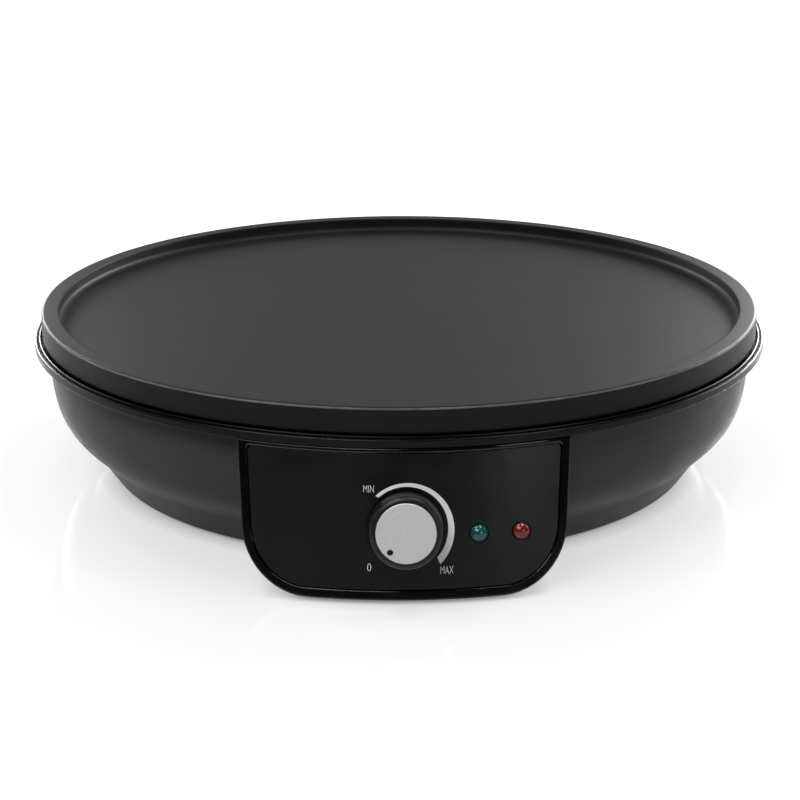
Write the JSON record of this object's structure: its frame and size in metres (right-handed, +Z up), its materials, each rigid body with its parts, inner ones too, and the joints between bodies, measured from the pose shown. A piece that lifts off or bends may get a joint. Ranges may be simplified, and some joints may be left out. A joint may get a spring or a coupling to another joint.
{
  "type": "electric crepe maker",
  "caption": "Countertop electric crepe maker: shallow round griddle plate on a bowl-shaped base, with a front control panel, thermostat knob and signal lamps.",
  "frame": {"origin": "on the table, under the middle of the whole appliance with its control housing and knob", "axes": "+Z up; -Y towards the control panel at the front; +X to the right as seen from the panel"},
  "size_m": [0.327, 0.3476, 0.0741],
  "materials": {
    "plate_coating": "black non-stick coating, fine satin texture",
    "ring_black": "gloss",
    "base_grey": "satin anthracite paint",
    "housing_black": "high gloss",
    "fascia_black": "satin",
    "knob_black": "satin",
    "cap_silver": "fine metallic grain",
    "lens_green": "tinted, glossy",
    "lens_red": "tinted, glossy",
    "lamp_glass": "clear",
    "foot_rubber": "matte",
    "screw_steel": "zinc plated",
    "element_steel": "heat tinted",
    "sheet_steel": "galvanised",
    "reflector_aluminium": "mill finish",
    "brass": "plain",
    "copper": "plain copper",
    "ceramic": "unglazed steatite",
    "insulation_ivory": "matte",
    "wire_brown": "silicone sleeve",
    "wire_blue": "silicone sleeve",
    "wire_green": "silicone sleeve",
    "wire_grey": "silicone sleeve",
    "gland_black": "matte"
  },
  "bodies": {
    "appliance": {"griddle_plate": "plate_coating", "trim_ring": "ring_black", "ring_screws": "screw_steel", "base_bowl": "base_grey", "rubber_feet": "foot_rubber", "foot_screws": "screw_steel", "control_housing": "housing_black", "housing_screws": "screw_steel", "control_fascia": "fascia_black", "thermostat_bushing": "brass", "bushing_nut": "screw_steel", "thermostat_bracket": "sheet_steel", "bracket_screws": "screw_steel", "thermostat_body": "ceramic", "thermostat_tabs": "brass", "capillary_tube": "copper", "sensor_bulb": "copper", "bulb_clip": "sheet_steel", "thermal_fuse": "ceramic", "fuse_clip": "sheet_steel", "earth_tag": "brass", "plate_screws": "screw_steel", "heating_element": "element_steel", "element_insulators": "ceramic", "element_clamps": "sheet_steel", "clamp_screws": "screw_steel", "plate_studs": "screw_steel", "stud_sleeves": "ceramic", "stud_nuts": "screw_steel", "heat_reflector": "reflector_aluminium", "green_lens": "lens_green", "red_lens": "lens_red", "green_lamp": "lamp_glass", "red_lamp": "lamp_glass", "lamp_boots": "insulation_ivory", "lamp_leads": "wire_grey", "terminal_block": "insulation_ivory", "terminal_screws": "screw_steel", "live_leads": "wire_brown", "neutral_lead": "wire_blue", "earth_lead": "wire_green", "cord_gland": "gland_black", "gland_nut": "gland_black"},
    "knob": {"knob_body": "knob_black", "knob_cap": "cap_silver", "knob_spring_clip": "sheet_steel", "thermostat_spindle": "sheet_steel"}
  },
  "joints": [
    {"name": "knob_turn", "type": "hinge", "parent": "appliance", "child": "knob", "pos_m": [0.0002, -0.15957, 0.0287], "axis": [0, 0.9744, -0.225], "range_deg": [0, 270]}
  ]
}
